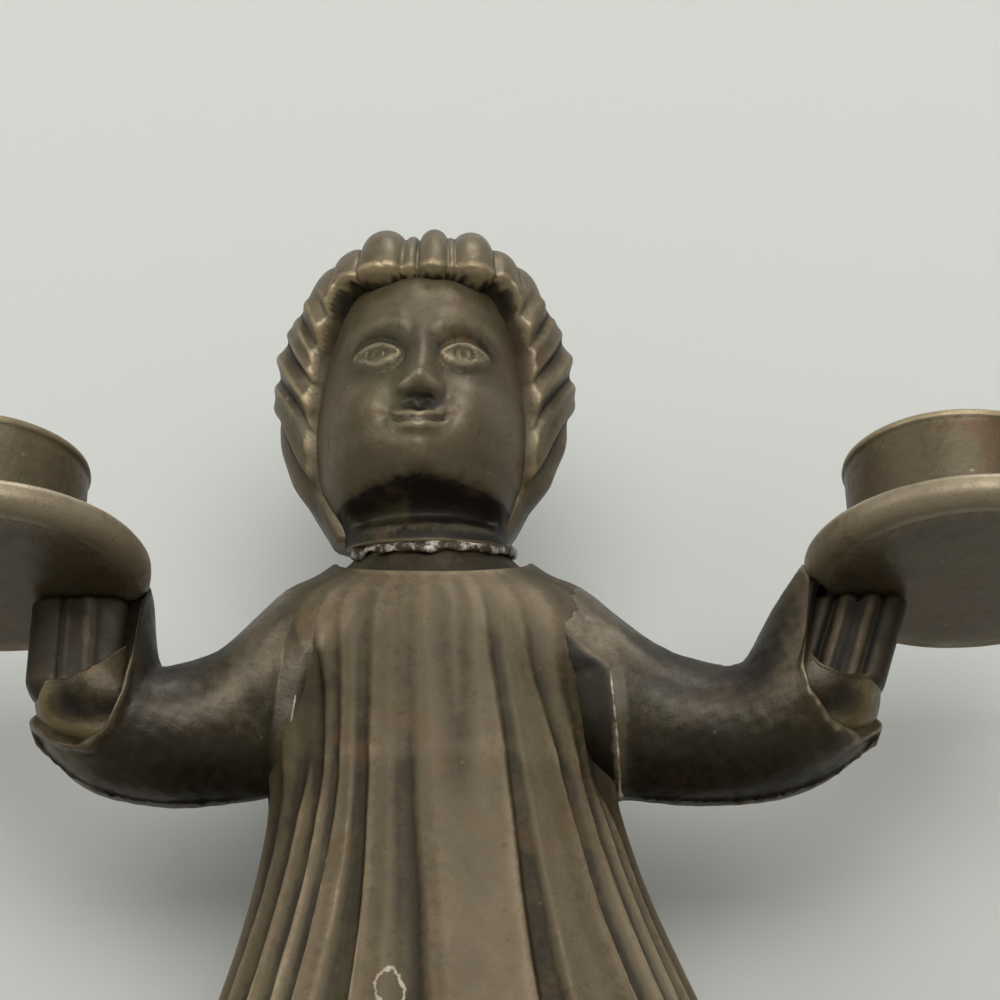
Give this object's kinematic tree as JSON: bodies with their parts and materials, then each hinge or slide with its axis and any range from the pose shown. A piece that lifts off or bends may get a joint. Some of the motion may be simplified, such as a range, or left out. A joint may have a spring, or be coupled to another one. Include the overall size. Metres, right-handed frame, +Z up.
{
  "type": "candle holder",
  "caption": "Cast metal choir boy in a pleated robe, arms raised, carrying a drip pan with a candle cup on each hand.",
  "frame": {"origin": "on the surface the figure stands on, at the middle of its outline seen from above", "axes": "+Z up; the figure faces -Y; +X is to the right as seen from the front, along the raised arms"},
  "size_m": [0.149, 0.0597, 0.1222],
  "materials": {
    "robe_bronze": "satin",
    "head_bronze": "satin",
    "sleeve_bronze": "satin",
    "hand_bronze": "satin",
    "pan_bronze": "satin",
    "cup_bronze": "satin",
    "solder": "matte"
  },
  "bodies": {
    "root": {"robe": "robe_bronze", "head": "head_bronze", "neck_solder": "solder", "left_arm": "sleeve_bronze", "right_arm": "sleeve_bronze", "left_armhole_solder": "solder", "right_armhole_solder": "solder", "left_hand": "hand_bronze", "right_hand": "hand_bronze", "left_drip_pan": "pan_bronze", "right_drip_pan": "pan_bronze", "left_candle_cup": "cup_bronze", "right_candle_cup": "cup_bronze"}
  },
  "joints": []
}
